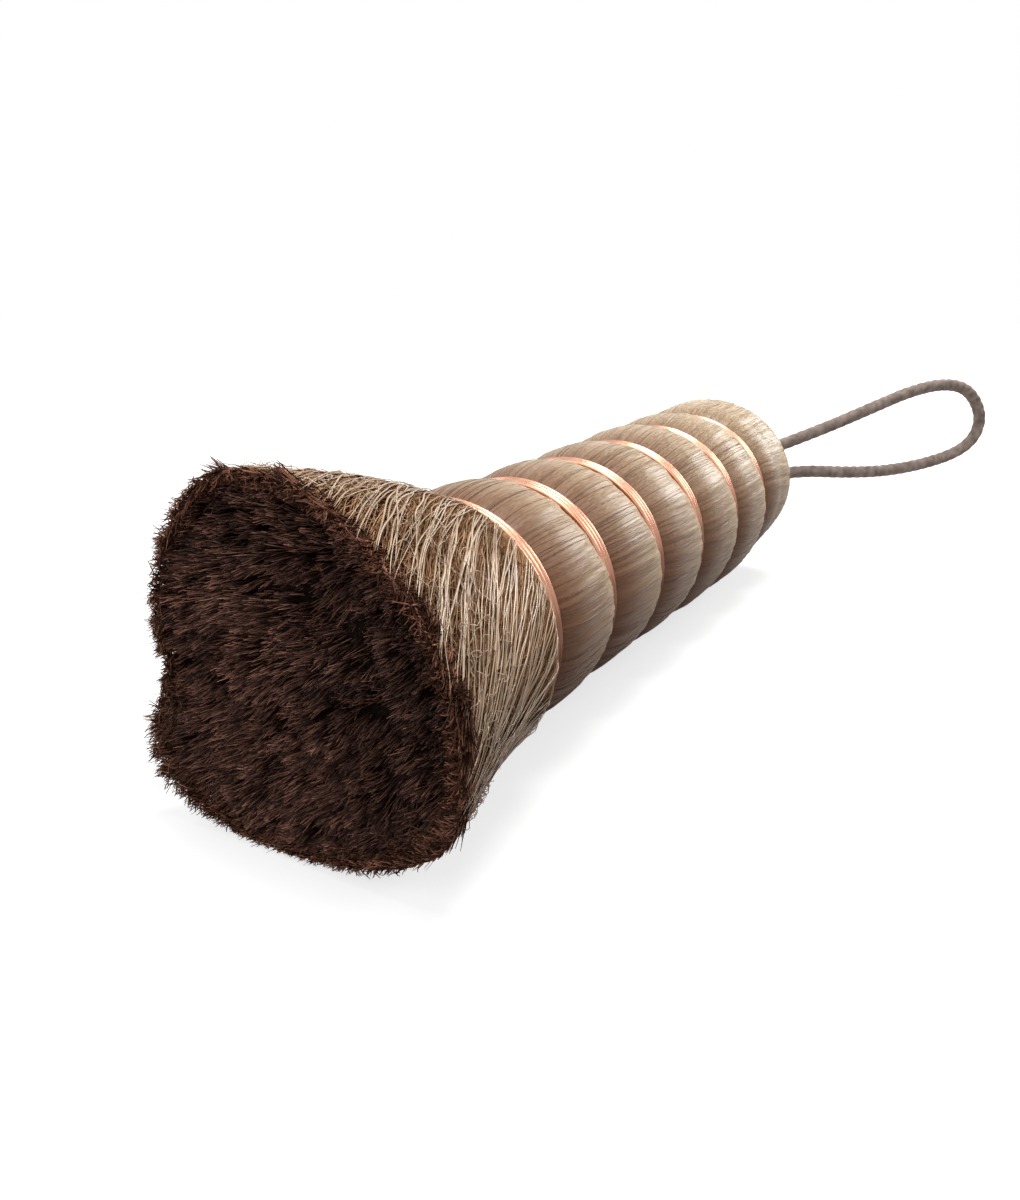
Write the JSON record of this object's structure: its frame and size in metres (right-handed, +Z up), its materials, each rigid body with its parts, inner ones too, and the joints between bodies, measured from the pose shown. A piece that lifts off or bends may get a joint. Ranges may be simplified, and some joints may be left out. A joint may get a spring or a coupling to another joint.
{
  "type": "palm brush",
  "caption": "Hand brush: a bundle of palm fibre rolled in tan palm bark, bound into lobes with copper wire, flared bristle end and a twine hanging loop.",
  "frame": {"origin": "centre of the brush's footprint, on the surface it lies on", "axes": "+X along the brush from the bristles to the hanging loop, +Z up, -Y to the right when looking at the bristle face"},
  "size_m": [0.2216, 0.0786, 0.0463],
  "materials": {
    "palm_bark": "tan palm bark, a natural net of glossy strands",
    "palm_fibre": "brown palm fibre laid lengthwise",
    "bristle": "dark brown combed palm fibre with reddish tips",
    "copper_wire": "bright bare copper wire",
    "twine": "matt grey-brown twine"
  },
  "bodies": {
    "root": {"bark_sheath": "palm_bark", "fibre_core": "palm_fibre", "core_bristles": "bristle", "inner_wrap": "palm_fibre", "wrap_bristles": "bristle", "copper_binding_1": "copper_wire", "copper_binding_2": "copper_wire", "copper_binding_3": "copper_wire", "copper_binding_4": "copper_wire", "copper_binding_5": "copper_wire", "copper_binding_6": "copper_wire", "hanging_loop": "twine", "loop_knot": "twine"}
  },
  "joints": []
}
